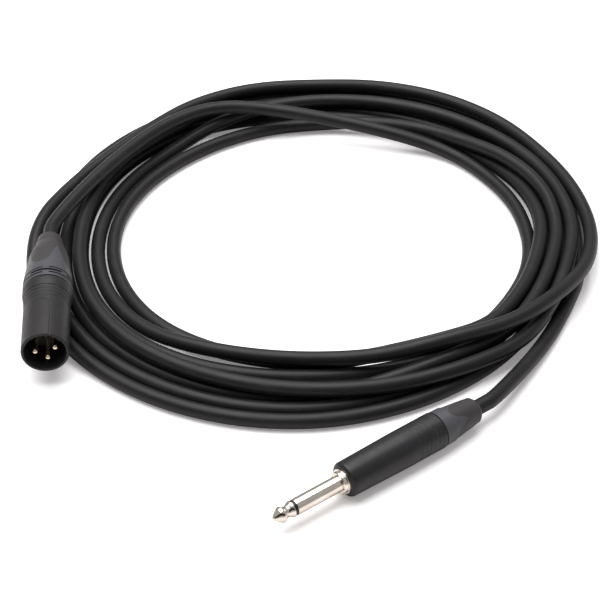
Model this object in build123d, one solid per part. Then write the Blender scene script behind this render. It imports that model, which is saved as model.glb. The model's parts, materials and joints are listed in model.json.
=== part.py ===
from build123d import *
import os
from math import cos, pi, radians, sin, sqrt, tan

# Microphone lead: a male 3-pin XLR and a 6.35 mm mono jack joined by one black cord, coiled loose.
# Millimetres, +Z up, floor at z = 0, origin on the floor under the middle of the two connectors.
# The XLR points along -Y. Stations along a connector are counted from its front end.

# ---- Driving dimensions: the cord ----
CORD_D = 6.2
CORD_R = CORD_D / 2
COIL_X, COIL_Y = 37.85, 96.5       # centre of the coil
COIL_PHASE = 5.2                  # degrees that the coil's stations are turned clockwise
LEAST_GAP = 0.4                   # the coil keeps at least this far from itself
RUN_SHARE = 0.45                  # part of the shorter run that a bend takes up

# ---- Driving dimensions: the connectors' places, measured from the coil's centre ----
XLR_MOUTH = (-115.9, -89.1, 16.6)
XLR_ROLL = 11.0                   # degrees that the keyway leans to the left
JACK_TIP = (-33.6, -179.9, 7.4)
JACK_HEADING = 32.8               # degrees from +X, tip to cord

# ---- Driving dimensions: the XLR ----
XLR_FRONT_R, XLR_REAR_R = 9.5, 10.3
XLR_BORE_R, XLR_SEAT_R = 8.35, 8.6
XLR_SEAT_Z = 15.0                 # shoulder that the insert rests on
XLR_WAIST_Z = (26.8, 31.5, 36.3)  # the shell widens gently from the first to the last of these
XLR_WAIST_R = 9.7                 # its radius at the second
XLR_SHELL_L = 38.0
XLR_RINGS = [(25.6, 9.37), (27.8, 9.41), (30.0, 9.5), (32.2, 9.64)]    # grooves: (station, inner radius)
XLR_PANEL_W, XLR_PANEL_L = 8.5, 23.7
PIN_R, PIN_CIRCLE_R, PIN_START = 1.2, 4.07, 1.4
CUP_R, CUP_BORE_R, CUP_END = 1.5, 1.0, 29.0
PIN_SHANK_END = 15.1              # the pin is thicker from here on, just inside the insert
INSERT_END = 24.5
SPRING_LOW, SPRING_HIGH = 8.1, 8.44     # the ground spring's two faces, above the axis

# ---- Driving dimensions: the jack ----
JACK_R = 3.175
JACK_RING_Z = (8.4, 9.7)          # the black ring between tip and sleeve
JACK_FLANGE_Z, JACK_FLANGE_R = (29.9, 31.6), 4.4
JACK_SHELL_Z = (32.2, 77.5)
JACK_SHELL_R = (6.9, 7.4)
JACK_MOUTH_R, JACK_SEAT_R, JACK_SEAT_Z = 5.0, 6.0, 34.4
SHIELD_TAB_Y, SHIELD_TAB_T = 4.7, 0.6     # upper face of the shield's tab, below the axis
HOT_TAB_Y, HOT_TAB_T = 2.7, 0.6           # upper face of the hot core's tab, above the axis
JACK_RINGS = [(station, 7.26) for station in (64.4, 66.5, 68.6, 70.7, 72.8, 74.9)]

# ---- Driving dimensions: the glands (bushing, boot and chuck) ----
# "outer" is the gland's radius, as (station, radius). The boot's rounded lobes reach forward over
# the bushing. Each row of slots is (station, width, turn in degrees).
XLR_GLAND = {
    "spigot_start": 30.5, "spigot_r": 8.52, "bore_r": 7.3, "cone_start": 38.0, "cone_end": 47.0,
    "outer": [(38.4, 10.25), (41.2, 10.35), (45.0, 10.2), (49.7, 9.8), (53.6, 9.3), (57.5, 8.9), (61.5, 8.4),
              (65.5, 7.5), (69.6, 6.3), (73.6, 5.7), (75.8, 5.3), (76.9, 4.5)],
    "lobe_tip": 48.8, "lobe_r": 3.9, "lobe_edge": 64.0, "lobe_half": 6.2, "lobe_turn": -17.0, "skin": 1.3,
    "core_end": 66.0, "slots": [(39.9, 0.7, 45.0), (41.4, 1.2, 0.0), (43.4, 0.7, 45.0)],
    "chuck_z": (36.6, 46.2), "chuck_r": (6.9, 4.9),
}
JACK_GLAND = {
    "spigot_start": 69.5, "spigot_r": 5.92, "bore_r": 5.1, "cone_start": 75.0, "cone_end": 84.0,
    "outer": [(77.8, 7.2), (82.6, 7.05), (82.9, 6.75), (88.0, 6.2), (92.0, 5.75), (96.2, 5.2), (97.3, 4.3)],
    "lobe_tip": 83.2, "lobe_r": 2.9, "lobe_edge": 90.2, "lobe_half": 4.7, "lobe_turn": 10.0, "skin": 1.0,
    "core_end": 92.0, "slots": [],
    "chuck_z": (73.0, 82.2), "chuck_r": (4.8, 4.0),
}
GLAND_BORE_R = 3.6                # the cord passes freely through bushing and boot
CHUCK_BORE_R = 3.18
LOBES = 4
SLOT_DEPTH, SLOT_HALF_ANGLE = 1.6, 38.0

# ---- Driving dimensions: the cord's ends and wires ----
XLR_JACKET_Z = (34.5, 64.8)       # the cord's straight end inside the XLR, up to its lead
JACK_JACKET_Z = (60.0, 85.3)
CORE_R, STRAND_R, STRAND_L = 0.75, 0.45, 3.6

# The cord's centre along the coil, one row for each turn, clockwise from the coil's +X side:
# (eighth of the turn, radius, height).
LOW = CORD_R
COIL_STATIONS = [
    [(0, 93.7, LOW), (0.25, 93.6, LOW), (0.5, 93.2, LOW), (1, 94.9, LOW), (1.5, 96.9, LOW), (2, 97.6, LOW),
     (3, 105.4, LOW), (4, 103.4, LOW), (5, 105.9, LOW), (6, 101.1, LOW), (7, 99.4, LOW), (7.5, 98.8, 6.3)],
    [(0, 98.0, 9.2), (0.5, 96.5, 9.1), (0.75, 97.8, 9.1), (1, 98.9, 8.8), (1.25, 96.4, 9.9),
     (1.5, 93.7, 9.2), (1.75, 91.1, 6.3), (2, 89.8, LOW), (3, 91.8, LOW), (4, 89.4, LOW), (5, 88.6, LOW),
     (6, 93.5, LOW), (6.25, 93.7, 5.3), (6.5, 94.6, 7.1), (7, 96.6, 10.0), (7.25, 99.6, 11.5),
     (7.5, 103.0, 11.7), (7.75, 104.9, 10.5)],
    [(0, 104.7, 9.2), (0.5, 103.3, 9.2), (0.75, 105.1, 9.2), (1, 107.0, 8.8), (1.25, 106.8, 9.8),
     (1.5, 105.7, 8.4), (1.75, 107.0, 4.9), (2, 110.2, LOW), (3, 114.4, LOW), (4, 110.5, LOW),
     (5, 113.3, LOW), (6, 115.3, LOW), (7, 114.2, LOW), (7.5, 111.8, LOW)],
    [(0, 108.1, LOW), (0.25, 107.5, LOW), (0.5, 106.8, LOW), (1, 111.2, LOW), (1.5, 117.5, LOW),
     (2, 123.9, LOW), (3, 127.9, LOW), (3.5, 126.2, LOW), (4, 122.0, 9.5), (4.5, 111.7, 9.9),
     (5, 111.6, 9.8), (5.5, 119.6, 9.8), (6, 119.9, 9.7), (6.5, 123.5, 9.9), (7, 121.9, 9.9),
     (7.5, 118.3, 9.8), (7.75, 119.1, 9.4)],
    [(0, 119.6, 8.5), (0.5, 116.6, 12.7), (0.75, 113.2, 15.8), (1, 110.0, 16.0), (1.25, 105.0, 16.7),
     (1.5, 101.0, 14.2), (2, 93.6, 9.0), (2.5, 95.7, 8.4), (3, 98.6, 4.8), (4, 96.2, LOW), (5, 97.0, LOW),
     (5.5, 100.0, 9.3), (6, 104.5, 10.0), (7, 110.6, 9.8), (7.5, 111.6, 10.0)],
    [(0, 111.6, 9.2), (0.5, 110.2, 9.1), (1, 115.2, 8.8), (1.25, 114.8, 10.0), (1.5, 114.0, 9.4),
     (1.75, 113.8, 9.8), (2, 113.5, 9.8), (3, 112.3, 10.0), (4, 103.0, 9.9), (4.5, 103.5, 9.9),
     (5, 104.2, 9.8), (5.25, 106.4, 9.8), (5.5, 109.0, 8.2), (5.75, 108.7, 5.4), (6, 108.0, 3.5),
     (7, 107.3, LOW), (7.5, 105.0, LOW)],
    [(0, 101.2, LOW), (0.25, 100.7, LOW), (0.5, 99.9, LOW), (1, 103.1, LOW), (1.5, 110.1, LOW),
     (2, 117.1, LOW), (3, 121.1, LOW), (4, 117.2, LOW), (5, 120.4, LOW), (5.5, 121.6, LOW), (6, 122.2, LOW),
     (6.5, 123.2, LOW), (7, 121.8, LOW), (7.5, 118.5, LOW)],
    [(0, 115.0, LOW)],
]
EIGHTHS = 8
START_HEADING, END_HEADING = 176.0, 191.0     # degrees clockwise from +Y, of the coil's two ends

# Corners of the two leads, measured from the coil's centre. Their ends are worked out.
XLR_LEAD = [
    (-115.9, -1.0, 16.6), (-103.2, 23.9, 17.0), (-86.0, 52.0, 17.0), (-64.0, 79.0, 16.8), (-40.0, 93.5, 16.4),
    (-12.0, 91.0, 14.4), (23.0, 80.0, 11.5), (48.0, 72.0, 7.6), (64.5, 64.8, 4.4), (78.1, 50.8, 3.2),
]
JACK_LEAD = [(98.0, -62.0, 3.1), (82.8, -88.0, 3.3)]
JACK_LEAD_REACH = 11.0            # the last corner stands this far behind the boot
LEAD_REACH = 24.0                 # a lead's corner beside the coil stands this far from the coil's end


# ---- Small helpers ----
def from_coil(x, y, z):
    return Vector(x + COIL_X, y + COIL_Y, z)


def turned(points):
    """Solid of revolution about Z from (radius, station) points."""
    outline = Polyline(*[(r, 0, z) for r, z in points], close=True)
    return revolve(make_face(outline), Axis.Z)


def tube(outer, inner, start, end):
    return turned([(inner, start), (outer, start), (outer, end), (inner, end)])


def rod(radius, start, end, x=0.0, y=0.0):
    return Pos(x, y, start) * Cylinder(radius, end - start, align=(Align.CENTER, Align.CENTER, Align.MIN))


def block(x_size, y_size, start, end, x=0.0, y=0.0):
    return Pos(x, y, start) * Box(x_size, y_size, end - start, align=(Align.CENTER, Align.CENTER, Align.MIN))


def ring_grooves(piece, rings, width):
    for station, bottom in rings:
        piece -= tube(bottom + 2, bottom, station, station + width)
    return piece


# Connector frames: Z runs from the front end to the cord, -Y is the connector's top.
def xlr_plane(roll):
    lean = radians(roll)
    return Plane(origin=from_coil(*XLR_MOUTH), x_dir=(cos(lean), 0, sin(lean)), z_dir=(0, 1, 0))


def jack_plane():
    angle = radians(JACK_HEADING)
    side, along = (sin(angle), -cos(angle), 0), (cos(angle), sin(angle), 0)
    return Plane(origin=from_coil(*JACK_TIP), x_dir=side, z_dir=along)


# ---- The XLR ----
def pin_places():
    """Pins 1 and 2 stand left and right, pin 3 below, seen from the front with the keyway on top."""
    return [(-PIN_CIRCLE_R, 0.0), (PIN_CIRCLE_R, 0.0), (0.0, PIN_CIRCLE_R)]


def panel_groove():
    """A shallow groove round a bare panel on top of the shell, open at the mouth and round behind."""
    line, depth = 0.35, 0.22
    flat = XLR_PANEL_L - XLR_PANEL_W / 2

    def outline(half):
        return Rectangle(2 * half, 2 * flat) + Pos(0, flat) * Circle(half)

    frame = outline(XLR_PANEL_W / 2) - outline(XLR_PANEL_W / 2 - line)
    prism = extrude(Plane.XZ * frame, amount=XLR_FRONT_R + 2)
    return prism & tube(XLR_FRONT_R + 1, XLR_FRONT_R - depth, -1, XLR_PANEL_L + 1)


def xlr_shell():
    lip, edge = 0.3, 0.45
    shell = turned([
        (XLR_BORE_R, lip), (XLR_BORE_R + lip, 0), (XLR_FRONT_R - edge, 0), (XLR_FRONT_R, edge),
        (XLR_FRONT_R, XLR_WAIST_Z[0]), (XLR_WAIST_R, XLR_WAIST_Z[1]), (XLR_REAR_R, XLR_WAIST_Z[2]),
        (XLR_REAR_R, XLR_SHELL_L - lip),
        (XLR_REAR_R - lip, XLR_SHELL_L), (XLR_SEAT_R, XLR_SHELL_L), (XLR_SEAT_R, XLR_SEAT_Z),
        (XLR_BORE_R, XLR_SEAT_Z),
    ])
    shell = ring_grooves(shell, XLR_RINGS, 0.6)
    shell -= panel_groove()
    key_width, key_height, key_start = 2.3, 1.2, 1.6
    key_y = -(XLR_BORE_R + 0.2 - key_height / 2)
    return shell + block(key_width, key_height, key_start, XLR_SEAT_Z - 0.1, y=key_y)


def spring_strip(clearance):
    """The ground spring's strip on top of the insert, or with a clearance the slot that it lies in."""
    width = 3.0
    thickness = SPRING_HIGH - SPRING_LOW + 2 * clearance
    start, end = 17.0 - clearance, INSERT_END + 0.45 + clearance
    return block(width + 2 * clearance, thickness, start, end, y=-(SPRING_LOW + SPRING_HIGH) / 2)


def xlr_ground_spring():
    """A strip between insert and shell, with a tab folded down behind the insert."""
    tab_height, tab_thickness = 3.6, 0.35
    tab_start = INSERT_END + 0.1
    tab_y = tab_height / 2 - SPRING_HIGH
    return spring_strip(0) + block(2.4, tab_height, tab_start, tab_start + tab_thickness, y=tab_y)


def xlr_insert():
    front = XLR_SEAT_Z + 0.02
    body = rod(XLR_SEAT_R - 0.06, front, INSERT_END)
    for x, y in pin_places():
        body -= rod(CUP_R + 0.02, front - 1, INSERT_END + 1, x, y)
    centre_dimple = rod(1.1, front - 1, front + 0.6)
    return body - centre_dimple - spring_strip(0.05)


def xlr_pin(x, y):
    """A contact pin with a round nose, and its solder cup, open on the side away from the axis."""
    nose_end = PIN_START + PIN_R
    slant = PIN_R / sqrt(2)
    nose = ThreePointArc((0, 0, PIN_START), (slant, 0, nose_end - slant), (PIN_R, 0, nose_end))
    rest = Polyline((PIN_R, 0, nose_end), (PIN_R, 0, PIN_SHANK_END), (CUP_R, 0, PIN_SHANK_END),
                    (CUP_R, 0, CUP_END), (0, 0, CUP_END), (0, 0, PIN_START))
    pin = revolve(make_face(nose.edges() + rest.edges()), Axis.Z)
    pin -= rod(CUP_BORE_R, CUP_END - 3.2, CUP_END + 1)
    pin = Pos(x, y, 0) * pin
    window = block(1.4, 1.4, CUP_END - 2.4, CUP_END + 1, x=x * 1.35, y=y * 1.35)
    return pin - window


def cup_solder(x, y):
    """A bead that fills a cup round the bare strand and stands a little proud."""
    start, end = CUP_END - 3.15, CUP_END + 0.5
    outer = CUP_BORE_R - 0.03
    bead = turned([
        (STRAND_R + 0.02, start), (outer, start), (outer, CUP_END - 0.1), (outer * 0.75, end - 0.15),
        (STRAND_R + 0.02, end),
    ])
    return Pos(x, y, 0) * bead


def wire(jacket_face, from_place, to_place, radius):
    """One insulated wire, bent in an S from the jacket's cut face, and the bare strand that ends it."""
    down, straight = Vector(0, 0, -1), Vector(0, 0, -0.4)
    start = Vector(*from_place, jacket_face)
    end = Vector(*to_place)
    path = [Edge.make_line(start, start + straight)]
    path += biarc(start + straight, down, end - straight, down)
    path += [Edge.make_line(end - straight, end)]
    sleeve = sweep(Plane(origin=start, z_dir=(0, 0, -1)) * Circle(radius), path=Wire(path))
    return sleeve + rod(STRAND_R, end.Z - STRAND_L, end.Z, end.X, end.Y)


# ---- The jack ----
def jack_tip_contact():
    """The ball tip with its waist, on a centre rod that runs back to the tip lug."""
    ball_r, rod_r, rod_end = JACK_R - 0.02, 1.4, 46.0
    return turned([
        (0, 0), (0.5, 0.06), (0.95, 0.35), (2.8, 2.75), (3.05, 3.25), (ball_r, 3.75), (3.08, 4.2), (2.7, 4.8),
        (2.3, 5.6), (2.22, 6.1), (2.45, 6.8), (3.0, 7.7), (ball_r, 8.1), (ball_r, JACK_RING_Z[0]),
        (rod_r, JACK_RING_Z[0]), (rod_r, rod_end), (0, rod_end),
    ])


def jack_insulating_ring():
    """The black ring behind the tip, and its tube round the centre rod inside the sleeve."""
    tube_r, bore_r, tube_end = 2.0, 1.42, 40.4
    recess = 0.18
    start, end = JACK_RING_Z[0] + 0.02, JACK_RING_Z[1]
    return turned([
        (bore_r, start), (JACK_R - recess, start), (JACK_R - recess, end), (tube_r, end), (tube_r, tube_end),
        (bore_r, tube_end),
    ])


def jack_sleeve():
    """The long contact, its flange, and the barrel that seats behind the shell's mouth."""
    bore_r, edge, relief = 2.03, 0.25, 0.2
    start, barrel_end = JACK_RING_Z[1] + 0.02, 40.0
    low, high = JACK_FLANGE_Z
    return turned([
        (bore_r, start), (JACK_R - 0.1, start), (JACK_R, start + 0.13), (JACK_R, low - relief),
        (JACK_R - relief, low - relief), (JACK_R - relief, low),
        (JACK_FLANGE_R - edge, low), (JACK_FLANGE_R, low + edge), (JACK_FLANGE_R, high),
        (JACK_MOUTH_R - 0.05, high), (JACK_MOUTH_R - 0.05, JACK_SEAT_Z + 0.05),
        (JACK_SEAT_R - 0.05, JACK_SEAT_Z + 0.05), (JACK_SEAT_R - 0.05, barrel_end), (bore_r, barrel_end),
    ])


def jack_sleeve_terminal():
    """A washer on the sleeve's barrel with a long tab for the shield."""
    washer = tube(5.6, 4.5, 40.05, 40.75)
    return washer + block(3.0, SHIELD_TAB_T, 40.05, 57.0, y=SHIELD_TAB_Y + SHIELD_TAB_T / 2)


def jack_inner_insulator():
    return tube(4.3, 2.05, 40.05, 43.4)


def jack_tip_lug():
    """A washer on the centre rod with a tab for the hot core."""
    washer = tube(2.8, 1.42, 43.5, 44.3)
    return washer + block(2.2, HOT_TAB_T, 43.5, 53.0, y=-HOT_TAB_Y + HOT_TAB_T / 2)


def jack_liner():
    """A thin insulating tube inside the shell, round both terminals."""
    return tube(5.93, 5.65, 41.0, 66.0)


def jack_shell():
    lip, mouth = 0.35, JACK_SHELL_Z[0]
    shell = turned([
        (JACK_MOUTH_R, mouth), (JACK_SHELL_R[0] - 1.2, mouth), (JACK_SHELL_R[0] - 0.2, mouth + 0.8),
        (JACK_SHELL_R[0], mouth + 1.4), (JACK_SHELL_R[1], 60.0), (JACK_SHELL_R[1], JACK_SHELL_Z[1] - lip),
        (JACK_SHELL_R[1] - lip, JACK_SHELL_Z[1]), (JACK_SEAT_R, JACK_SHELL_Z[1]), (JACK_SEAT_R, JACK_SEAT_Z),
        (JACK_MOUTH_R, JACK_SEAT_Z),
    ])
    return ring_grooves(shell, JACK_RINGS, 0.45)


def tab_solder(strand_y, start, end, tab_y):
    """A bead of solder round a wire's bare strand, flat where it meets the terminal's tab."""
    radius, overlap = 0.95, 2.0
    bead = rod(radius, start, end, 0, strand_y) - rod(STRAND_R + 0.02, start - 1, end + 1, 0, strand_y)
    side = 1 if tab_y > strand_y else -1
    return bead - block(2 * radius, 2 * overlap, start - 1, end + 1, y=tab_y + side * overlap)


# ---- The glands ----
def gland_blank(gland):
    outline = [(GLAND_BORE_R, gland["outer"][0][0])]
    outline += [(r, z) for z, r in gland["outer"]]
    outline += [(GLAND_BORE_R, gland["outer"][-1][0])]
    return turned(outline)


def lobe_cutter(gland):
    """Rounded windows through the gland's skin, one for each lobe, and everything behind them."""
    tip, edge, half, radius = (gland[name] for name in ("lobe_tip", "lobe_edge", "lobe_half", "lobe_r"))
    centre = tip + radius
    sides = Polyline((-radius, centre), (-half, edge), (half, edge), (radius, centre), close=True)
    outline = make_face(sides) + Pos(0, centre) * Circle(radius)
    outer = gland["outer"][0][1] + 2
    cutter = tube(outer, 0.5, edge, gland["outer"][-1][0] + 1)
    for lobe in range(LOBES):
        turn = Rot(0, 0, gland["lobe_turn"] + lobe * 360 / LOBES)
        cutter += turn * extrude(Plane.XZ * outline, amount=outer)
    return cutter


def gland_core(gland):
    """The hard core under the boot: the gland's outline drawn in by the skin's thickness."""
    start, end = gland["outer"][0][0], gland["core_end"]
    points = [(r - gland["skin"], z) for z, r in gland["outer"] if z < end]
    return turned([(GLAND_BORE_R, start)] + points + [(points[-1][0] - 0.5, end), (GLAND_BORE_R, end)])


def slot_row(gland, station, width, turn):
    """Curved slots round the bushing, as many as the lobes."""
    outer = gland["outer"][0][1] + 1
    half = radians(SLOT_HALF_ANGLE)
    wedge = make_face(Polyline((0, 0), (-2 * outer * sin(half), -2 * outer * cos(half)),
                               (2 * outer * sin(half), -2 * outer * cos(half)), close=True))
    arc = (Circle(outer) - Circle(outer - 1 - SLOT_DEPTH)) & wedge
    slot = Pos(0, 0, station) * extrude(arc, amount=width)
    return [Rot(0, 0, turn + k * 360 / LOBES) * slot for k in range(LOBES)]


def bushing(gland):
    """The hard gland: a threaded spigot, a cone that closes the chuck, and tongues between the lobes."""
    start, collar = gland["spigot_start"], gland["outer"][0][0]
    spigot = turned([
        (gland["bore_r"], start), (gland["spigot_r"] - 0.4, start), (gland["spigot_r"], start + 0.5),
        (gland["spigot_r"], collar), (GLAND_BORE_R, collar), (GLAND_BORE_R, collar - 0.01),
        (gland["bore_r"], collar - 0.01),
    ])
    body = (gland_blank(gland) - lobe_cutter(gland)) + gland_core(gland) + spigot
    cone_r = gland["chuck_r"][1] + 0.35
    body -= turned([
        (0, start - 1), (gland["bore_r"], start - 1), (gland["bore_r"], gland["cone_start"]),
        (cone_r, gland["cone_end"]), (0, gland["cone_end"]),
    ])
    for station, width, turn in gland["slots"]:
        for slot in slot_row(gland, station, width, turn):
            body -= slot
    return body


def boot(gland, hard):
    return (gland_blank(gland) & lobe_cutter(gland)) - gland_core(gland) - hard


def chuck(gland):
    """A slit collet round the cord, with a cone behind that the bushing presses on."""
    start, end = gland["chuck_z"]
    front_r, rear_r = gland["chuck_r"]
    cone = gland["cone_start"]
    body = turned([
        (CHUCK_BORE_R, start), (front_r, start), (front_r, cone - 0.6), (rear_r, end), (CHUCK_BORE_R, end),
    ])
    slit_w, slit_start = 0.8, start + 2.2
    body -= block(slit_w, 4 * front_r, slit_start, end + 1)
    return body - block(4 * front_r, slit_w, slit_start, end + 1)


# ---- The cord ----
def coil_place(turn, radius, height):
    """A point at an angle counted clockwise from the coil's -X side."""
    return from_coil(-radius * cos(turn), radius * sin(turn), height)


def heading_vector(heading):
    return Vector(sin(radians(heading)), cos(radians(heading)), 0)


def smooth_slope(before, step_before, after, step_after):
    """Slope at a station of the parabola through it and its two neighbours."""
    return (before * step_after + after * step_before) / (step_before + step_after)


def gentle_climb(before, step_before, after, step_after):
    """The same for the cord's height, but level at a crest or on the floor and never steep."""
    if before * after <= 0:
        return 0.0
    size = abs(smooth_slope(before, step_before, after, step_after))
    return min(size, 2 * min(abs(before), abs(after))) * (1 if after > 0 else -1)


def coil_stations():
    """Places and directions of the cord at the stations, in order along the coil."""
    first_turn = pi + radians(COIL_PHASE)
    flat = [(first_turn + 2 * pi * (row + eighth / EIGHTHS), radius, height)
            for row, stations in enumerate(COIL_STATIONS) for eighth, radius, height in stations]
    places = [coil_place(*station) for station in flat]
    directions = [heading_vector(START_HEADING)]
    for before, (turn, radius, height), after in zip(flat, flat[1:], flat[2:]):
        turn0, radius0, height0 = before
        turn2, radius2, height2 = after
        step0, step2 = turn - turn0, turn2 - turn
        spread = smooth_slope((radius - radius0) / step0, step0, (radius2 - radius) / step2, step2)
        climb = gentle_climb((height - height0) / step0, step0, (height2 - height) / step2, step2)
        outward, onward = Vector(-cos(turn), sin(turn), 0), Vector(sin(turn), cos(turn), 0)
        directions.append((outward * spread + onward * radius + Vector(0, 0, climb)).normalized())
    directions.append(heading_vector(END_HEADING))
    return places, directions


def biarc(start, leaving, end, arriving):
    """Two arcs that leave one station and arrive at the next on its direction."""
    span = end - start
    both = leaving + arriving
    along, bend = span.dot(both), 2 * (1 - leaving.dot(arriving))
    if bend < 1e-9:
        reach = span.dot(span) / (4 * span.dot(arriving))
    else:
        reach = (sqrt(along * along + bend * span.dot(span)) - along) / bend
    first, second = start + leaving * reach, end - arriving * reach
    joint = (first + second) / 2
    return [Edge.make_tangent_arc(start, leaving, joint), Edge.make_tangent_arc(joint, second - first, end)]


def coil_path():
    """The coil's line: a straight end, biarcs from station to station, and a straight end."""
    places, directions = coil_stations()
    edges = [Edge.make_line(places[0] - directions[0] * CORD_D, places[0])]
    for k in range(len(places) - 1):
        edges += biarc(places[k], directions[k], places[k + 1], directions[k + 1])
    edges.append(Edge.make_line(places[-1], places[-1] + directions[-1] * CORD_D))
    return edges


def line_points(edges, step):
    """Points along a chain of edges, with their distance from its start."""
    points, walked = [], 0.0
    for edge in edges:
        count = max(2, round(edge.length / step))
        points += [(walked + edge.length * i / count, edge @ (i / count)) for i in range(count)]
        walked += edge.length
    return points + [(walked, edges[-1] @ 1)]


def segment_distance(point, start, end):
    span = end - start
    share = max(0.0, min(1.0, (point - start).dot(span) / span.dot(span)))
    return (point - start - span * share).length


def least_gap(edges):
    """Smallest clear distance between stretches of the coil that lie over half a turn apart."""
    step, apart, near = 4.0, 250.0, 14.0
    points = line_points(edges, step)
    best = (1e9, None)
    for i, (walked, point) in enumerate(points):
        for j in range(i + round(apart / step * 0.8), len(points) - 1):
            other = points[j][1]
            close = abs(other.X - point.X) < near and abs(other.Y - point.Y) < near
            if close and points[j][0] - walked > apart:
                gap = segment_distance(point, other, points[j + 1][1]) - CORD_D
                best = min(best, (gap, walked), key=lambda found: found[0])
    return best


def swept_cord(path):
    section = Plane(origin=path @ 0, z_dir=path % 0) * Circle(CORD_R)
    return sweep(section, path=path)


def lead_path(points, name):
    """Straight runs joined by arcs as large as the runs allow, and a printed list of their radii."""
    radii = []
    for before, corner, after in zip(points, points[1:], points[2:]):
        arriving, leaving = corner - before, after - corner
        half_turn = radians(arriving.get_angle(leaving)) / 2
        radii.append(RUN_SHARE * min(arriving.length, leaving.length) / tan(half_turn))
    runs = [(b - a).length for a, b in zip(points, points[1:])]
    print(name, "runs", [round(run, 1) for run in runs], "radii", [round(radius, 1) for radius in radii])
    return FilletPolyline(*points, radius=radii)


def xlr_lead_points(plane):
    places, directions = coil_stations()
    meet = places[0] - directions[0] * CORD_D
    start = plane.origin + plane.z_dir * XLR_JACKET_Z[1]
    return [start] + [from_coil(*point) for point in XLR_LEAD] + [meet - directions[0] * LEAD_REACH, meet]


def jack_lead_points(plane):
    places, directions = coil_stations()
    meet = places[-1] + directions[-1] * CORD_D
    end = plane.origin + plane.z_dir * JACK_JACKET_Z[1]
    boot_corner = plane.origin + plane.z_dir * (JACK_GLAND["outer"][-1][0] + JACK_LEAD_REACH)
    corners = [from_coil(*point) for point in JACK_LEAD]
    return [meet, meet + directions[-1] * LEAD_REACH] + corners + [boot_corner, end]


# ---- The whole lead ----
def xlr_pieces():
    plane, rolled = xlr_plane(0).location, xlr_plane(XLR_ROLL).location
    places = pin_places()
    jacket = XLR_JACKET_Z[0]
    wire_end = CUP_END + 0.6
    hard = bushing(XLR_GLAND)
    pieces = {
        "xlr_shell": rolled * xlr_shell(),
        "xlr_insert": rolled * xlr_insert(),
        "xlr_ground_spring": rolled * xlr_ground_spring(),
        "xlr_solder": Compound([rolled * cup_solder(x, y) for x, y in places]),
        "xlr_shield_pigtail": rolled * wire(jacket, (-1.1, 1.1), (*places[0], wire_end), STRAND_R),
        "xlr_hot_core": rolled * wire(jacket, (1.3, -0.3), (*places[1], wire_end), CORE_R),
        "xlr_cold_core": rolled * wire(jacket, (0.4, 1.5), (*places[2], wire_end), CORE_R),
        "xlr_jacket_end": plane * rod(CORD_R, *XLR_JACKET_Z),
        "xlr_chuck": plane * chuck(XLR_GLAND),
        "xlr_bushing": plane * hard,
        "xlr_boot": plane * boot(XLR_GLAND, hard),
    }
    for number, (x, y) in enumerate(places, start=1):
        pieces[f"xlr_pin_{number}"] = rolled * xlr_pin(x, y)
    return pieces


def jack_pieces():
    plane = jack_plane().location
    jacket = JACK_JACKET_Z[0]
    hard = bushing(JACK_GLAND)
    stand_off = STRAND_R + 0.05
    hot_y, shield_y = -HOT_TAB_Y - stand_off, SHIELD_TAB_Y - stand_off
    solder = [tab_solder(hot_y, 50.4, 52.6, -HOT_TAB_Y), tab_solder(shield_y, 53.0, 55.4, SHIELD_TAB_Y)]
    return {
        "jack_tip_contact": plane * jack_tip_contact(),
        "jack_insulating_ring": plane * jack_insulating_ring(),
        "jack_sleeve": plane * jack_sleeve(),
        "jack_inner_insulator": plane * jack_inner_insulator(),
        "jack_sleeve_terminal": plane * jack_sleeve_terminal(),
        "jack_tip_lug": plane * jack_tip_lug(),
        "jack_liner": plane * jack_liner(),
        "jack_shell": plane * jack_shell(),
        "jack_hot_core": plane * wire(jacket, (0, -1.2), (0, hot_y, 53.6), CORE_R),
        "jack_shield_pigtail": plane * wire(jacket, (0, 1.4), (0, shield_y, 56.0), STRAND_R),
        "jack_solder": Compound([plane * bead for bead in solder]),
        "jack_jacket_end": plane * rod(CORD_R, *JACK_JACKET_Z),
        "jack_chuck": plane * chuck(JACK_GLAND),
        "jack_bushing": plane * hard,
        "jack_boot": plane * boot(JACK_GLAND, hard),
    }


def cord_pieces():
    coil_edges = coil_path()
    lines = {
        "xlr_lead": lead_path(xlr_lead_points(xlr_plane(0)), "xlr_lead"),
        "cord_coil": Wire(coil_edges),
        "jack_lead": lead_path(jack_lead_points(jack_plane()), "jack_lead"),
    }
    total = 0.0
    pieces = {}
    for name, path in lines.items():
        total += path.length
        pieces[name] = swept_cord(path)
        share = pieces[name].volume / (pi * CORD_R ** 2 * path.length)
        print(f"{name}: {path.length:.1f} mm, volume {share:.4f} of section times length")
    gap, where = least_gap(coil_edges)
    print(f"coil: least gap to itself {gap:.2f} mm at {where:.0f} mm along, allowed {LEAST_GAP}")
    print(f"cord: {total:.0f} mm between the connectors' jackets")
    return pieces


def main():
    os.makedirs("parts", exist_ok=True)
    for name, piece in (xlr_pieces() | jack_pieces() | cord_pieces()).items():
        export_step(piece, f"parts/{name}.step")


main()
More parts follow.
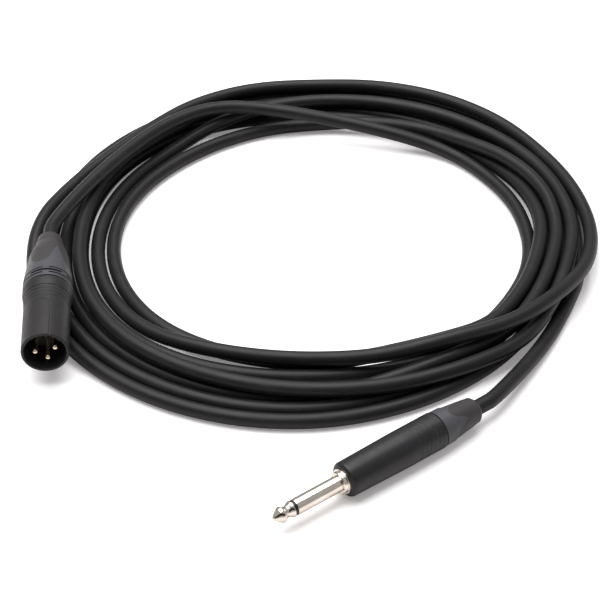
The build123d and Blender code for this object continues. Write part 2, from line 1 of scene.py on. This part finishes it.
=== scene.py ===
import bpy
import json
from math import cos, pi, radians, sin
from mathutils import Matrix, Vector


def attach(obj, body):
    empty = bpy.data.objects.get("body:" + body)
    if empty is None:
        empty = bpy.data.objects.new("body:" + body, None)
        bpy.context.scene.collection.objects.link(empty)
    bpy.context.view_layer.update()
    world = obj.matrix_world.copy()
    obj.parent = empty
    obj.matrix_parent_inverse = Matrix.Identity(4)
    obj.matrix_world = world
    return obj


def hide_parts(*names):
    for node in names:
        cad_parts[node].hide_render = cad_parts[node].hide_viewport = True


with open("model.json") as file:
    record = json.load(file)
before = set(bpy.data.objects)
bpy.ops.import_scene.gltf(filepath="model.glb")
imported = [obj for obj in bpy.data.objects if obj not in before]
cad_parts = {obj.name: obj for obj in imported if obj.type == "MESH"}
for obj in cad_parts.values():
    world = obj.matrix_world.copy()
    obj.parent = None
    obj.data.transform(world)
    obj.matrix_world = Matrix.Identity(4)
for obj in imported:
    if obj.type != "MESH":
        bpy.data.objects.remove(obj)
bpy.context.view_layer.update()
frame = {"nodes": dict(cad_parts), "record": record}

MM = 0.001

# ---- The cord's route, in millimetres, from the coil's centre as in part.py ----
CORD_R = 3.1
COIL_X, COIL_Y = 37.85, 96.5
COIL_PHASE = 5.2
XLR_MOUTH = (-115.9, -89.1, 16.6)
XLR_ROLL = 11.0
JACK_TIP = (-33.6, -179.9, 7.4)
JACK_HEADING = 32.8
XLR_LEAD_START, XLR_STRAIGHT = 64.8, 79.0      # stations on the XLR's axis
JACK_LEAD_END, JACK_STRAIGHT = 85.3, 101.0     # stations on the jack's axis
JACK_LAST_CORNER = 108.3
LEAD_REACH = 24.0
LOW = CORD_R
COIL_STATIONS = [
    [(0, 93.7, LOW), (0.25, 93.6, LOW), (0.5, 93.2, LOW), (1, 94.9, LOW), (1.5, 96.9, LOW), (2, 97.6, LOW),
     (3, 105.4, LOW), (4, 103.4, LOW), (5, 105.9, LOW), (6, 101.1, LOW), (7, 99.4, LOW), (7.5, 98.8, 6.3)],
    [(0, 98.0, 9.2), (0.5, 96.5, 9.1), (0.75, 97.8, 9.1), (1, 98.9, 8.8), (1.25, 96.4, 9.9),
     (1.5, 93.7, 9.2), (1.75, 91.1, 6.3), (2, 89.8, LOW), (3, 91.8, LOW), (4, 89.4, LOW), (5, 88.6, LOW),
     (6, 93.5, LOW), (6.25, 93.7, 5.3), (6.5, 94.6, 7.1), (7, 96.6, 10.0), (7.25, 99.6, 11.5),
     (7.5, 103.0, 11.7), (7.75, 104.9, 10.5)],
    [(0, 104.7, 9.2), (0.5, 103.3, 9.2), (0.75, 105.1, 9.2), (1, 107.0, 8.8), (1.25, 106.8, 9.8),
     (1.5, 105.7, 8.4), (1.75, 107.0, 4.9), (2, 110.2, LOW), (3, 114.4, LOW), (4, 110.5, LOW),
     (5, 113.3, LOW), (6, 115.3, LOW), (7, 114.2, LOW), (7.5, 111.8, LOW)],
    [(0, 108.1, LOW), (0.25, 107.5, LOW), (0.5, 106.8, LOW), (1, 111.2, LOW), (1.5, 117.5, LOW),
     (2, 123.9, LOW), (3, 127.9, LOW), (3.5, 126.2, LOW), (4, 122.0, 9.5), (4.5, 111.7, 9.9),
     (5, 111.6, 9.8), (5.5, 119.6, 9.8), (6, 119.9, 9.7), (6.5, 123.5, 9.9), (7, 121.9, 9.9),
     (7.5, 118.3, 9.8), (7.75, 119.1, 9.4)],
    [(0, 119.6, 8.5), (0.5, 116.6, 12.7), (0.75, 113.2, 15.8), (1, 110.0, 16.0), (1.25, 105.0, 16.7),
     (1.5, 101.0, 14.2), (2, 93.6, 9.0), (2.5, 95.7, 8.4), (3, 98.6, 4.8), (4, 96.2, LOW), (5, 97.0, LOW),
     (5.5, 100.0, 9.3), (6, 104.5, 10.0), (7, 110.6, 9.8), (7.5, 111.6, 10.0)],
    [(0, 111.6, 9.2), (0.5, 110.2, 9.1), (1, 115.2, 8.8), (1.25, 114.8, 10.0), (1.5, 114.0, 9.4),
     (1.75, 113.8, 9.8), (2, 113.5, 9.8), (3, 112.3, 10.0), (4, 103.0, 9.9), (4.5, 103.5, 9.9),
     (5, 104.2, 9.8), (5.25, 106.4, 9.8), (5.5, 109.0, 8.2), (5.75, 108.7, 5.4), (6, 108.0, 3.5),
     (7, 107.3, LOW), (7.5, 105.0, LOW)],
    [(0, 101.2, LOW), (0.25, 100.7, LOW), (0.5, 99.9, LOW), (1, 103.1, LOW), (1.5, 110.1, LOW),
     (2, 117.1, LOW), (3, 121.1, LOW), (4, 117.2, LOW), (5, 120.4, LOW), (5.5, 121.6, LOW), (6, 122.2, LOW),
     (6.5, 123.2, LOW), (7, 121.8, LOW), (7.5, 118.5, LOW)],
    [(0, 115.0, LOW)],
]
EIGHTHS = 8
POINTS_PER_TURN = 24
START_HEADING, END_HEADING = 176.0, 191.0
XLR_LEAD = [
    (-115.9, -1.0, 16.6), (-103.2, 23.9, 17.0), (-86.0, 52.0, 17.0), (-64.0, 79.0, 16.8), (-40.0, 93.5, 16.4),
    (-12.0, 91.0, 14.4), (23.0, 80.0, 11.5), (48.0, 72.0, 7.6), (64.5, 64.8, 4.4), (78.1, 50.8, 3.2),
]
JACK_LEAD = [(98.0, -62.0, 3.1), (82.8, -88.0, 3.3)]
CURVE_STEPS, ROUND_STEPS = 8, 8                # along each span of the cord, and round a quarter of it

# ---- The studio's levels ----
FLOOR_SEEN, FLOOR_SHINE, FLOOR_GLOW = (1.0, 1.0, 1.0), (0.80, 0.78, 0.775), (0.22, 0.215, 0.213)
CARD = (-1.4, 1.4, -1.0, 0.30, 1.10)          # from x to x, at y, from z to z
WORLD_LEVEL, WORLD_SEEN, OVERHEAD_POWER = 0.42, 1.05, 30.0
OVERHEAD_PLACE, OVERHEAD_TARGET = (-0.15, 0.30, 1.25), (0.03, 0.05, 0.0)
OVERHEAD_SIZE = (1.6, 1.3)
STUDIO_TINT = (1.0, 0.985, 0.985)
FLOOR_REACH, FLOOR_Z = 6.0, -0.0003            # just below the object's feet
CAMERA_PLACE, CAMERA_DOWN, CAMERA_LENS = (-0.02455, -0.5245, 0.440), 37.3, 101.63
CAMERA_ASIDE, CAMERA_AHEAD = 0.0912, 0.9958    # the view's heading


def from_coil(x, y, z):
    return Vector((x + COIL_X, y + COIL_Y, z))


def xlr_point(station, x=0.0, y=0.0):
    """A place in the XLR: x to the right and y down across its rolled face, station along +Y."""
    lean = radians(XLR_ROLL)
    across, down = Vector((cos(lean), 0, sin(lean))), Vector((sin(lean), 0, -cos(lean)))
    return from_coil(*XLR_MOUTH) + Vector((0, station, 0)) + across * x + down * y


def jack_point(station):
    heading = radians(JACK_HEADING)
    return from_coil(*JACK_TIP) + Vector((cos(heading), sin(heading), 0)) * station


# ---- The cord ----
def heading_vector(heading):
    return Vector((sin(radians(heading)), cos(radians(heading)), 0))


def smooth_slope(before, step_before, after, step_after):
    return (before * step_after + after * step_before) / (step_before + step_after)


def gentle_climb(before, step_before, after, step_after):
    if before * after <= 0:
        return 0.0
    size = abs(smooth_slope(before, step_before, after, step_after))
    return min(size, 2 * min(abs(before), abs(after))) * (1 if after > 0 else -1)


def slope_of_heading(heading, turn, radius):
    way = heading_vector(heading)
    outward, onward = Vector((-cos(turn), sin(turn), 0)), Vector((sin(turn), cos(turn), 0))
    return radius * way.dot(outward) / way.dot(onward)


def coil_knots():
    """(turn, radius, height, radius slope, height slope) at each station."""
    first = pi + radians(COIL_PHASE)
    flat = [(first + 2 * pi * (row + eighth / EIGHTHS), radius, height)
            for row, stations in enumerate(COIL_STATIONS) for eighth, radius, height in stations]
    knots = [(*flat[0], slope_of_heading(START_HEADING, flat[0][0], flat[0][1]), 0.0)]
    for before, (turn, radius, height), after in zip(flat, flat[1:], flat[2:]):
        turn0, radius0, height0 = before
        turn2, radius2, height2 = after
        step0, step2 = turn - turn0, turn2 - turn
        spread = smooth_slope((radius - radius0) / step0, step0, (radius2 - radius) / step2, step2)
        climb = gentle_climb((height - height0) / step0, step0, (height2 - height) / step2, step2)
        knots.append((turn, radius, height, spread, climb))
    knots.append((*flat[-1], slope_of_heading(END_HEADING, flat[-1][0], flat[-1][1]), 0.0))
    return knots


def eased(share, step, value0, slope0, value2, slope2):
    """Cubic from one value and slope to the next."""
    rest = 1 - share
    near, far = rest * rest * (1 + 2 * share), share * share * (1 + 2 * rest)
    return near * value0 + far * value2 + step * share * rest * (rest * slope0 - share * slope2)


def coil_places():
    """Evenly turned places along the coil."""
    knots = coil_knots()
    first, last = knots[0][0], knots[-1][0]
    count = round((last - first) / (2 * pi) * POINTS_PER_TURN)
    places, k = [], 0
    for i in range(count + 1):
        turn = first + (last - first) * i / count
        while k < len(knots) - 2 and turn > knots[k + 1][0]:
            k += 1
        turn0, radius0, height0, spread0, climb0 = knots[k]
        turn2, radius2, height2, spread2, climb2 = knots[k + 1]
        step = turn2 - turn0
        share = (turn - turn0) / step
        radius = eased(share, step, radius0, spread0, radius2, spread2)
        height = eased(share, step, height0, climb0, height2, climb2)
        places.append(from_coil(-radius * cos(turn), radius * sin(turn), height))
    return places


def cord_points():
    """The control points of the whole cord, from the XLR's boot to the jack's."""
    places = coil_places()
    points = [xlr_point(XLR_LEAD_START), xlr_point(XLR_STRAIGHT)]
    points += [from_coil(*point) for point in XLR_LEAD]
    lead_in = 2 * CORD_R + LEAD_REACH
    points += [places[0] - heading_vector(START_HEADING) * lead_in, places[0]]
    for before, place, after in zip(places, places[1:], places[2:]):
        corner = place + (place * 2 - before - after) / 8
        corner.z = max(corner.z, LOW)
        points.append(corner)
    points += [places[-1], places[-1] + heading_vector(END_HEADING) * lead_in]
    points += [from_coil(*point) for point in JACK_LEAD]
    points += [jack_point(station) for station in (JACK_LAST_CORNER, JACK_STRAIGHT, JACK_LEAD_END)]
    return points


def make_cord():
    data = bpy.data.curves.new("cord", "CURVE")
    data.dimensions = "3D"
    spline = data.splines.new("NURBS")
    points = cord_points()
    spline.points.add(len(points) - 1)
    for point, place in zip(spline.points, points):
        point.co = (*(place * MM), 1.0)
        point.radius = CORD_R * MM
    spline.order_u = 3
    spline.use_endpoint_u = True
    spline.resolution_u = CURVE_STEPS
    data.bevel_depth = 1.0
    data.bevel_resolution = ROUND_STEPS
    cord = bpy.data.objects.new("cord", data)
    bpy.context.scene.collection.objects.link(cord)
    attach(cord, "lead")
    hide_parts("xlr_lead", "cord_coil", "jack_lead")
    return cord


# ---- Materials ----
class Nodes:
    """A material's node tree, with short calls for the nodes that the finishes share."""

    def __init__(self, name):
        self.material = bpy.data.materials.new(name)
        self.material.use_nodes = True
        self.tree = self.material.node_tree
        self.shader = self.tree.nodes["Principled BSDF"]
        self.place = self.node("ShaderNodeTexCoord").outputs["Object"]
        self.normal = None

    def node(self, kind, **settings):
        made = self.tree.nodes.new(kind)
        for name, value in settings.items():
            setattr(made, name, value)
        return made

    def link(self, source, target):
        self.tree.links.new(source, target)

    def put(self, target, value):
        if isinstance(value, bpy.types.NodeSocket):
            self.link(value, target)
        else:
            target.default_value = value

    def noise(self, scale, detail=3.0, rough=0.55, stretch=None):
        place = self.place
        if stretch:
            mapping = self.node("ShaderNodeMapping")
            self.link(place, mapping.inputs["Vector"])
            mapping.inputs["Scale"].default_value = stretch
            place = mapping.outputs["Vector"]
        made = self.node("ShaderNodeTexNoise")
        self.link(place, made.inputs["Vector"])
        made.inputs["Scale"].default_value = scale
        made.inputs["Detail"].default_value = detail
        made.inputs["Roughness"].default_value = rough
        return made.outputs["Fac"]

    def spread(self, value, low, high, to_low=0.0, to_high=1.0):
        made = self.node("ShaderNodeMapRange", interpolation_type="SMOOTHSTEP")
        for name, number in (("From Min", low), ("From Max", high), ("To Min", to_low), ("To Max", to_high)):
            made.inputs[name].default_value = number
        self.link(value, made.inputs["Value"])
        return made.outputs["Result"]

    def sum(self, operation, first, second):
        made = self.node("ShaderNodeMath", operation=operation)
        self.put(made.inputs[0], first)
        self.put(made.inputs[1], second)
        return made.outputs[0]

    def mix(self, share, first, second):
        made = self.node("ShaderNodeMix", data_type="RGBA")
        self.put(made.inputs[0], share)
        for socket, colour in ((made.inputs[6], first), (made.inputs[7], second)):
            self.put(socket, colour if isinstance(colour, bpy.types.NodeSocket) else (*colour, 1.0))
        return made.outputs[2]

    def round_edges(self, radius):
        """Rounds every edge in the shading, and returns 1 along the edges and 0 elsewhere."""
        bevel = self.node("ShaderNodeBevel", samples=6)
        bevel.inputs["Radius"].default_value = radius
        self.normal = bevel.outputs["Normal"]
        both = self.node("ShaderNodeVectorMath", operation="DOT_PRODUCT")
        self.link(self.normal, both.inputs[0])
        self.link(self.node("ShaderNodeNewGeometry").outputs["Normal"], both.inputs[1])
        return self.spread(both.outputs["Value"], 0.8, 0.985, 1.0, 0.0)

    def bump(self, height, strength, distance):
        made = self.node("ShaderNodeBump")
        made.inputs["Strength"].default_value = strength
        made.inputs["Distance"].default_value = distance
        self.link(height, made.inputs["Height"])
        if self.normal:
            self.link(self.normal, made.inputs["Normal"])
        self.normal = made.outputs["Normal"]

    def finish(self, colour, rough, metallic=0.0, specular=0.5):
        self.put(self.shader.inputs["Base Color"], colour)
        self.put(self.shader.inputs["Roughness"], rough)
        self.shader.inputs["Metallic"].default_value = metallic
        self.shader.inputs["Specular IOR Level"].default_value = specular
        self.link(self.normal, self.shader.inputs["Normal"])
        return self.material


def jacket_material():
    """Soft satin PVC: faint long waves and a fine grain, rubbed patches, and a few specks of dust."""
    n = Nodes("cord jacket")
    broad, rubbed = n.noise(24.0, 4), n.noise(75.0, 5, 0.65)
    colour = n.mix(n.spread(broad, 0.3, 0.7), (0.0100, 0.0094, 0.0103), (0.0135, 0.0127, 0.0137))
    colour = n.mix(n.sum("MULTIPLY", n.spread(rubbed, 0.52, 0.75), 0.45), colour, (0.026, 0.0245, 0.0255))
    specks = n.spread(n.noise(1500.0, 2), 0.70, 0.76)
    colour = n.mix(n.sum("MULTIPLY", specks, 0.5), colour, (0.11, 0.105, 0.1))
    rough = n.spread(rubbed, 0.3, 0.7, 0.38, 0.48)
    n.bump(broad, 0.10, 0.0005)
    n.bump(n.noise(420.0, 3), 0.10, 0.0002)
    n.bump(n.noise(2600.0, 2), 0.18, 0.00006)
    return n.finish(colour, rough, specular=0.24)


def moulded(name, colour, rough, grain=1800.0, strength=0.25, edge=0.00025, worn=0.35, specular=0.35):
    """Moulded plastic or rubber: a fine spark-eroded grain, uneven gloss, and paler rubbed edges."""
    n = Nodes(name)
    edges = n.round_edges(edge)
    broad, patches = n.noise(60.0, 4), n.noise(260.0, 5, 0.65)
    dark, pale = [0.82 * c for c in colour], [min(1.0, 2.0 * c + 0.01) for c in colour]
    shade = n.mix(n.spread(broad, 0.3, 0.7), dark, colour)
    wear = n.sum("MULTIPLY", edges, n.spread(patches, 0.35, 0.65, 0.3 * worn, worn))
    shade = n.mix(wear, shade, pale)
    specks = n.spread(n.noise(1900.0, 2), 0.70, 0.76)
    shade = n.mix(n.sum("MULTIPLY", specks, 0.25), shade, pale)
    n.bump(n.noise(grain, 3), strength, 0.00008)
    return n.finish(shade, n.spread(patches, 0.3, 0.7, rough - 0.06, rough + 0.05), specular=specular)


def coated_metal(name, colour, rough, edge=0.0003):
    """A satin black coat on metal, blasted fine, worn to a paler sheen along its edges."""
    n = Nodes(name)
    edges = n.round_edges(edge)
    broad, patches = n.noise(45.0, 4), n.noise(330.0, 6, 0.7)
    shade = n.mix(n.spread(broad, 0.3, 0.7), [0.85 * c for c in colour], colour)
    wear = n.sum("MULTIPLY", edges, n.spread(patches, 0.38, 0.62, 0.15, 0.6))
    shade = n.mix(wear, shade, (0.16, 0.155, 0.15))
    marks = n.spread(n.noise(900.0, 3), 0.68, 0.76)
    shade = n.mix(n.sum("MULTIPLY", marks, 0.2), shade, (0.14, 0.135, 0.13))
    n.bump(n.noise(2200.0, 3), 0.22, 0.00006)
    return n.finish(shade, n.spread(patches, 0.3, 0.7, rough - 0.05, rough + 0.06), specular=0.30)


def bare_metal(name, colour, rough, stain, edge=0.0001, scratch=0.08):
    """Plated metal: a tarnish that varies slowly, fine scratches round the plug, and handling marks."""
    n = Nodes(name)
    n.round_edges(edge)
    broad, patches = n.noise(120.0, 4), n.noise(700.0, 5, 0.7)
    shade = n.mix(n.spread(broad, 0.35, 0.7), colour, stain)
    hairs = n.noise(900.0, 2, 0.5, stretch=(8.0, 1.0, 1.0))
    n.bump(hairs, scratch, 0.00003)
    return n.finish(shade, n.spread(patches, 0.35, 0.7, rough, rough + 0.1), metallic=1.0)


def materials():
    return {
        "cord_jacket": jacket_material(),
        "xlr_housing": coated_metal("xlr housing", (0.0195, 0.0183, 0.0190), 0.46),
        "insert_plastic": moulded("insert plastic", (0.10, 0.095, 0.09), 0.5),
        "contact_metal": bare_metal("contact metal", (0.88, 0.80, 0.62), 0.18, (0.78, 0.66, 0.45)),
        "spring_metal": bare_metal("spring metal", (0.60, 0.60, 0.58), 0.28, (0.48, 0.46, 0.43)),
        "solder": bare_metal("solder", (0.62, 0.62, 0.62), 0.24, (0.48, 0.48, 0.48)),
        "bushing_plastic": moulded("bushing plastic", (0.062, 0.064, 0.072), 0.42, worn=0.12),
        "boot_rubber": moulded("boot rubber", (0.037, 0.0348, 0.0348), 0.52, grain=1300.0, strength=0.35,
                               worn=0.25),
        "chuck_plastic": moulded("chuck plastic", (0.04, 0.04, 0.04), 0.5),
        "hot_wire": moulded("hot wire", (0.52, 0.04, 0.03), 0.42, worn=0.0),
        "cold_wire": moulded("cold wire", (0.72, 0.72, 0.68), 0.42, worn=0.0),
        "copper_strand": bare_metal("copper strand", (0.72, 0.42, 0.28), 0.32, (0.45, 0.24, 0.15)),
        "jack_metal": bare_metal("jack metal", (0.84, 0.79, 0.72), 0.11, (0.76, 0.69, 0.60)),
        "jack_housing": coated_metal("jack housing", (0.0170, 0.0163, 0.0180), 0.36),
        "insulator_black": moulded("insulator", (0.012, 0.012, 0.012), 0.22, worn=0.1),
        "liner_plastic": moulded("liner plastic", (0.50, 0.50, 0.47), 0.5, worn=0.0),
    }


def dress(made):
    """Every CAD node takes the finish of its slot."""
    for part in frame["record"]["subparts"]:
        mesh = frame["nodes"][part["node"]].data
        mesh.materials.clear()
        mesh.materials.append(made[part["material_slot"]])


# ---- Stage ----
def stage_sheet(name, corners, material):
    mesh = bpy.data.meshes.new(name)
    mesh.from_pydata(corners, [], [(0, 1, 2, 3)])
    mesh.materials.append(material)
    sheet = bpy.data.objects.new(name, mesh)
    bpy.context.scene.collection.objects.link(sheet)
    return sheet


def make_floor():
    """A white sheet that shows brighter than it shines on the object."""
    n = Nodes("floor")
    path = n.node("ShaderNodeLightPath")
    seen = n.sum("MAXIMUM", path.outputs["Is Camera Ray"], path.outputs["Is Transmission Ray"])
    colour = n.mix(seen, FLOOR_SHINE, FLOOR_SEEN)
    n.bump(n.noise(300.0, 2), 0.02, 0.0001)
    material = n.finish(colour, 0.9, specular=0.0)
    n.link(n.mix(seen, (0.0, 0.0, 0.0), FLOOR_GLOW), n.shader.inputs["Emission Color"])
    n.shader.inputs["Emission Strength"].default_value = 1.0
    signs = ((-1, -1), (1, -1), (1, 1), (-1, 1))
    stage_sheet("floor", [(x * FLOOR_REACH, y * FLOOR_REACH, FLOOR_Z) for x, y in signs], material)


def make_dark_card():
    """A dark studio flag in front of the object, out of view, that gives the metal something to mirror."""
    n = Nodes("dark card")
    n.bump(n.noise(40.0, 2), 0.1, 0.001)
    material = n.finish(n.mix(n.noise(3.0), (0.010, 0.009, 0.008), (0.014, 0.012, 0.010)), 0.9, specular=0.1)
    x0, x1, y, low, high = CARD
    card = stage_sheet("dark card", [(x0, y, low), (x1, y, low), (x1, y, high), (x0, y, high)], material)
    card.visible_camera = False


def area_lamp(name, place, target, size, power, colour):
    data = bpy.data.lights.new(name, "AREA")
    data.energy = power
    data.color = colour
    data.shape = "RECTANGLE"
    data.size, data.size_y = size
    lamp = bpy.data.objects.new(name, data)
    lamp.location = place
    lamp.rotation_euler = (Vector(target) - Vector(place)).to_track_quat("-Z", "Y").to_euler()
    bpy.context.scene.collection.objects.link(lamp)


def light_scene():
    world = bpy.data.worlds.new("world")
    bpy.context.scene.world = world
    world.use_nodes = True
    back = world.node_tree.nodes["Background"]
    back.inputs["Color"].default_value = (1.0, 0.985, 0.99, 1.0)
    path = world.node_tree.nodes.new("ShaderNodeLightPath")
    level = world.node_tree.nodes.new("ShaderNodeMapRange")
    level.inputs["To Min"].default_value = WORLD_LEVEL
    level.inputs["To Max"].default_value = WORLD_SEEN
    world.node_tree.links.new(path.outputs["Is Camera Ray"], level.inputs["Value"])
    world.node_tree.links.new(level.outputs["Result"], back.inputs["Strength"])
    area_lamp("overhead", OVERHEAD_PLACE, OVERHEAD_TARGET, OVERHEAD_SIZE, OVERHEAD_POWER, STUDIO_TINT)


def place_camera():
    data = bpy.data.cameras.new("camera")
    data.sensor_width = 36.0
    data.lens = CAMERA_LENS
    data.clip_start, data.clip_end = 0.05, 50.0
    down = radians(CAMERA_DOWN)
    look = Vector((CAMERA_ASIDE * cos(down), CAMERA_AHEAD * cos(down), -sin(down)))
    camera = bpy.data.objects.new("camera", data)
    camera.location = CAMERA_PLACE
    camera.rotation_euler = look.to_track_quat("-Z", "Y").to_euler()
    bpy.context.scene.collection.objects.link(camera)
    bpy.context.scene.camera = camera


bpy.context.scene.view_settings.view_transform = "Standard"
made_materials = materials()
dress(made_materials)
cord = make_cord()
cord.data.materials.append(made_materials["cord_jacket"])
make_floor()
make_dark_card()
light_scene()
place_camera()

bpy.context.view_layer.update()
